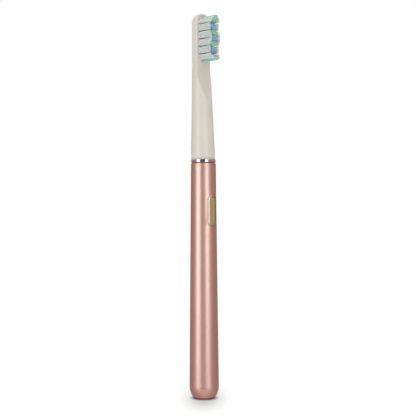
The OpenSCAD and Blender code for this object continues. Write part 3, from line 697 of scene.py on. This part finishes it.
def tip_face(x, z):
    """How far ahead of the axis the trimmed tips reach: a peak in the middle and raised ends.

    The ends of the right-hand row rise less steeply than the others."""
    far = abs(z - field_z)
    peak = peak_rise * max(0.0, 1 - far / peak_reach)
    slope = end_slope if x < right_from else right_slope
    end = min(end_most, slope * max(0.0, far - end_from))
    return tip_level + peak + end


def slot_shape(reach, thick):
    """Whether a point lies in a slot along V, half as long as reach, with rounded ends."""
    def inside(u, v):
        return math.hypot(u, max(0.0, abs(v) - (reach - thick))) <= thick
    return inside


def tuft(middle_x, middle_z, turn, half_u, half_v, inside, spread):
    """One bundle: a block of straight strands on a close grid, trimmed to its hole and its tips."""
    count_u = int(2 * half_u / strand_pitch) + 2
    count_v = int(2 * half_v / (strand_pitch * row_share)) + 2
    bpy.ops.object.select_all(action="DESELECT")
    bpy.ops.mesh.primitive_cylinder_add(vertices=strand_sides, radius=strand / 2 * MM, depth=MM,
                                        end_fill_type="TRIFAN", rotation=(math.pi / 2, 0, 0))
    bundle = bpy.context.object
    bpy.ops.object.transform_apply(rotation=True)
    for count, offset in ((count_u, (strand_pitch * MM, 0, 0)), (count_v, (0, 0, strand_pitch * MM))):
        copies = bundle.modifiers.new("copies", "ARRAY")
        copies.use_relative_offset = False
        copies.use_constant_offset = True
        copies.constant_offset_displace = offset
        copies.count = count
        bpy.ops.object.modifier_apply(modifier=copies.name)
    work = bmesh.new()
    work.from_mesh(bundle.data)
    work.verts.ensure_lookup_table()
    each = len(work.verts) // (count_u * count_v)
    cut = []
    for k in range(count_u * count_v):
        column, row = k % count_u, k // count_u
        u = (column - (count_u - 1) / 2 + 0.5 * (row % 2) - 0.25) * strand_pitch
        v = (row - (count_v - 1) / 2) * strand_pitch * row_share
        own = [work.verts[k * each + n] for n in range(each)]
        if not inside(u, v):
            cut += own
            continue
        lift_x = dice.uniform(-stray, stray)
        lift_z = dice.uniform(-stray, stray)
        trim = dice.uniform(-uneven, uneven)
        cos_t, sin_t = math.cos(turn), math.sin(turn)
        root = (middle_x + u * cos_t + v * sin_t, middle_z + v * cos_t - u * sin_t)
        wide_u, wide_v = u * spread[0], v * spread[1]
        tip = (middle_x + wide_u * cos_t + wide_v * sin_t + lift_x,
               middle_z + wide_v * cos_t - wide_u * sin_t + lift_z)
        reach = tip_face(tip[0], tip[1]) + trim
        centre = Vector((column * strand_pitch, 0, row * strand_pitch)) * MM
        for vert in own:
            local = (vert.co - centre) / MM
            hub = math.hypot(local.x, local.z) < strand / 8
            if local.y < 0:
                narrow = 0.0 if hub else tip_share
                depth = reach if hub else reach - tip_bevel
                vert.co = Vector((tip[0] + local.x * narrow, -depth, tip[1] + local.z * narrow)) * MM
            elif hub:
                cut.append(vert)
            else:
                vert.co = Vector((root[0] + local.x, -root_face, root[1] + local.z)) * MM
    bmesh.ops.delete(work, geom=cut, context="VERTS")
    work.to_mesh(bundle.data)
    work.free()
    return bundle


def bristles(name, bundles, material, node):
    """Joins a colour's bundles into one piece that stands for its block in the frame."""
    bpy.ops.object.select_all(action="DESELECT")
    for bundle in bundles:
        bundle.select_set(True)
    bpy.context.view_layer.objects.active = bundles[0]
    bpy.ops.object.join()
    piece = bpy.context.object
    piece.name = name
    bpy.ops.object.shade_smooth_by_angle(angle=math.radians(60))
    piece.data.materials.append(material)
    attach(piece, "head")
    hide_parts(node)


white_nylon = filament("white_nylon", (0.71, 0.725, 0.70), (0.80, 0.815, 0.79))
green_nylon = filament("green_nylon", (0.35, 0.71, 0.62), (0.43, 0.79, 0.70))
blue_nylon = filament("blue_nylon", (0.29, 0.61, 0.84), (0.36, 0.68, 0.88))

# The white rows: six tufts a side, the outer two set in a little and turned round the corners.
row_places = [-8.87, -5.55, -1.85, 1.85, 5.55, 8.87]
corner_from = 7
corner_turn = math.radians(32)
corner_inset = 0.42
corner_reach = 1.3
corner_spread = (1.12, 1.08)
side_x = 2.8
side_thick = 0.7
side_reach = 1.52
side_spread = (1.12, 1.18)
for side, name in ((-1, "left"), (1, "right")):
    row = []
    for place in row_places:
        corner = math.copysign(1, place) if abs(place) > corner_from else 0
        reach = side_reach if corner == 0 else corner_reach
        spread = side_spread if corner == 0 else corner_spread
        row.append(tuft(side * (side_x - corner_inset * abs(corner)), field_z + place,
                        -side * corner * corner_turn, side_thick, reach,
                        slot_shape(reach, side_thick), spread))
    bristles("white_bristles_" + name, row, white_nylon, "white_tufts_" + name)

# The middle row: five broad tufts, blue and green in turn, and a narrow green one at each end.
core_pitch = 2.85
core_thick = 1.1
core_flat = 0.45
core_spread = (1.08, 1.16)
end_place = 9.5
end_thick = 0.95
end_reach = 1.62
end_spread = (1.06, 1.03)


def core_shape(u, v):
    """Whether a point lies in a broad tuft: a short slot along U with rounded ends."""
    return math.hypot(v, max(0.0, abs(u) - core_flat)) <= core_thick


def core_tuft(place):
    """A broad tuft of the middle row, that many pitches from its middle."""
    return tuft(0.0, field_z + core_pitch * place, 0.0, core_flat + core_thick, core_thick,
                core_shape, core_spread)


def end_tuft(way):
    """The narrow tuft at one end of the middle row."""
    return tuft(0.0, field_z + end_place * way, 0.0, end_thick, end_reach,
                slot_shape(end_reach, end_thick), end_spread)


green = [core_tuft(place) for place in (-1, 1)] + [end_tuft(way) for way in (-1, 1)]
bristles("green_bristles", green, green_nylon, "green_tufts")
blue = [core_tuft(place) for place in (-2, 0, 2)]
bristles("blue_bristles", blue, blue_nylon, "blue_tufts")
brass = plated("brass", (0.50, 0.36, 0.12), (0.62, 0.47, 0.18), 0.25)
coat("tuft_anchors", brass)
